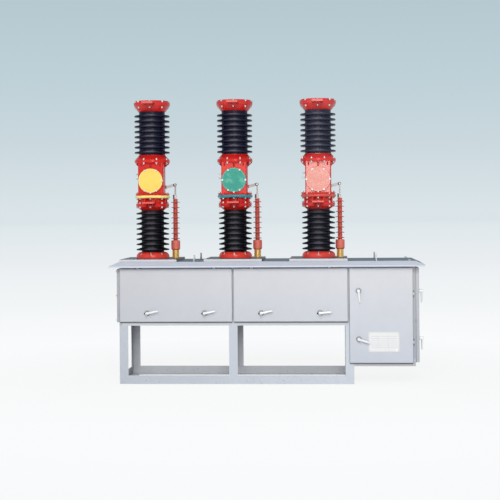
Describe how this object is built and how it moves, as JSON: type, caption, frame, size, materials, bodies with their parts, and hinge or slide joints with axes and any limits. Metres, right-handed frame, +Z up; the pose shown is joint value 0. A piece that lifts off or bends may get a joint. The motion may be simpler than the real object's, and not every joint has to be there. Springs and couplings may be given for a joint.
{
  "type": "outdoor vacuum circuit breaker",
  "caption": "Outdoor vacuum circuit breaker: red-flanged black insulator poles on a grey steel operating box with an angle-iron stand, lift-up covers and cabinet doors.",
  "frame": {"origin": "centre of the overall footprint, on the ground", "axes": "+X to the right along the box, +Y from the terminal side to the back, +Z up"},
  "size_m": [2.572, 0.824, 2.35],
  "materials": {
    "box_paint": "satin paint on folded steel sheet",
    "cover_paint": "satin light grey paint",
    "roof_paint": "satin blue-grey paint",
    "platform_paint": "satin dark grey paint",
    "stand_paint": "satin blue-grey paint",
    "red_paint": "glossy red enamel on cast aluminium",
    "insulator_glaze": "glossy near-black glaze",
    "phase_yellow_disc": "gloss yellow paint",
    "phase_green_disc": "gloss green paint",
    "phase_pink_disc": "gloss pale red paint",
    "phase_yellow_ring": "gloss yellow paint",
    "phase_teal_ring": "gloss teal paint",
    "phase_orange_ring": "gloss red-orange paint",
    "sensor_silicone": "matt brown-red silicone",
    "brass": "turned brass",
    "bar_aluminium": "tinned flat bar",
    "handle_chrome": "polished chrome plate",
    "hinge_steel": "zinc-plated steel",
    "plate_metal": "bare anodised plate",
    "gear_paint": "grey primer on steel",
    "plated_steel": "zinc-plated steel",
    "seal_rubber": "black moulded rubber seals and grommets",
    "fastener_zinc": "bright zinc-plated bolts, nuts and washers"
  },
  "bodies": {
    "breaker": {"stand_base": "stand_paint", "stand_legs": "stand_paint", "linkage_floor": "box_paint", "mechanism_tray": "box_paint", "box_posts": "box_paint", "top_frame": "box_paint", "roof_beams": "box_paint", "roof": "roof_paint", "pole_platforms": "platform_paint", "lifting_lugs": "stand_paint", "back_covers": "cover_paint", "left_end_cover": "cover_paint", "hinge_pins": "hinge_steel", "operating_mechanism": "gear_paint", "main_shaft": "plated_steel", "pull_rods": "plated_steel", "base_flanges": "red_paint", "lower_insulator_a": "insulator_glaze", "lower_insulator_b": "insulator_glaze", "lower_insulator_c": "insulator_glaze", "lower_terminal_a": "red_paint", "lower_terminal_b": "red_paint", "lower_terminal_c": "red_paint", "phase_ring_a": "phase_yellow_ring", "phase_ring_b": "phase_teal_ring", "phase_ring_c": "phase_orange_ring", "crank_housing_a": "red_paint", "crank_housing_b": "red_paint", "crank_housing_c": "red_paint", "phase_cover_a": "phase_yellow_disc", "phase_cover_b": "phase_green_disc", "phase_cover_c": "phase_pink_disc", "upper_insulator_a": "insulator_glaze", "upper_insulator_b": "insulator_glaze", "upper_insulator_c": "insulator_glaze", "terminal_cap_a": "red_paint", "terminal_cap_b": "red_paint", "terminal_cap_c": "red_paint", "sensor_feet": "brass", "sensor_posts": "sensor_silicone", "sensor_links": "bar_aluminium"},
    "left_lid": {"left_cover": "cover_paint", "left_cover_roses": "handle_chrome"},
    "right_lid": {"right_cover": "cover_paint", "right_cover_roses": "handle_chrome"},
    "cabinet_door": {"mechanism_door": "cover_paint", "mechanism_door_roses": "handle_chrome", "rating_plate": "plate_metal"},
    "side_door": {"end_door": "cover_paint", "end_door_roses": "handle_chrome"},
    "left_cover_handle_1_lever": {"left_cover_handle_1": "handle_chrome"},
    "left_cover_handle_2_lever": {"left_cover_handle_2": "handle_chrome"},
    "right_cover_handle_1_lever": {"right_cover_handle_1": "handle_chrome"},
    "right_cover_handle_2_lever": {"right_cover_handle_2": "handle_chrome"},
    "mechanism_door_handle_upper_lever": {"mechanism_door_handle_upper": "handle_chrome"},
    "mechanism_door_handle_lower_lever": {"mechanism_door_handle_lower": "handle_chrome"},
    "end_door_handle_upper_lever": {"end_door_handle_upper": "handle_chrome"},
    "end_door_handle_lower_lever": {"end_door_handle_lower": "handle_chrome"}
  },
  "joints": [
    {"name": "left_cover_lift", "type": "hinge", "parent": "breaker", "child": "left_lid", "pos_m": [-0.7395, -0.351, 0.953], "axis": [-1, 0, 0], "range_deg": [0, 70]},
    {"name": "right_cover_lift", "type": "hinge", "parent": "breaker", "child": "right_lid", "pos_m": [0.1985, -0.351, 0.953], "axis": [-1, 0, 0], "range_deg": [0, 70]},
    {"name": "mechanism_door_swing", "type": "hinge", "parent": "breaker", "child": "cabinet_door", "pos_m": [1.192, -0.35, 0.559], "axis": [0, 0, 1], "range_deg": [0, 110]},
    {"name": "end_door_swing", "type": "hinge", "parent": "breaker", "child": "side_door", "pos_m": [1.221, 0.338, 0.559], "axis": [0, 0, 1], "range_deg": [0, 110]},
    {"name": "left_cover_handle_1_turn", "type": "hinge", "parent": "left_lid", "child": "left_cover_handle_1_lever", "pos_m": [-0.975, -0.362, 0.581], "axis": [0, -1, 0], "range_deg": [0, 90]},
    {"name": "left_cover_handle_2_turn", "type": "hinge", "parent": "left_lid", "child": "left_cover_handle_2_lever", "pos_m": [-0.504, -0.362, 0.581], "axis": [0, -1, 0], "range_deg": [0, 90]},
    {"name": "right_cover_handle_1_turn", "type": "hinge", "parent": "right_lid", "child": "right_cover_handle_1_lever", "pos_m": [-0.04, -0.362, 0.581], "axis": [0, -1, 0], "range_deg": [0, 90]},
    {"name": "right_cover_handle_2_turn", "type": "hinge", "parent": "right_lid", "child": "right_cover_handle_2_lever", "pos_m": [0.437, -0.362, 0.581], "axis": [0, -1, 0], "range_deg": [0, 90]},
    {"name": "mechanism_door_handle_upper_turn", "type": "hinge", "parent": "cabinet_door", "child": "mechanism_door_handle_upper_lever", "pos_m": [0.749, -0.362, 0.759], "axis": [0, -1, 0], "range_deg": [0, 90]},
    {"name": "mechanism_door_handle_lower_turn", "type": "hinge", "parent": "cabinet_door", "child": "mechanism_door_handle_lower_lever", "pos_m": [0.749, -0.362, 0.368], "axis": [0, -1, 0], "range_deg": [-66, 24]},
    {"name": "end_door_handle_upper_turn", "type": "hinge", "parent": "side_door", "child": "end_door_handle_upper_lever", "pos_m": [1.239, -0.25, 0.751], "axis": [1, 0, 0], "range_deg": [0, 90]},
    {"name": "end_door_handle_lower_turn", "type": "hinge", "parent": "side_door", "child": "end_door_handle_lower_lever", "pos_m": [1.239, -0.25, 0.365], "axis": [1, 0, 0], "range_deg": [0, 90]}
  ]
}
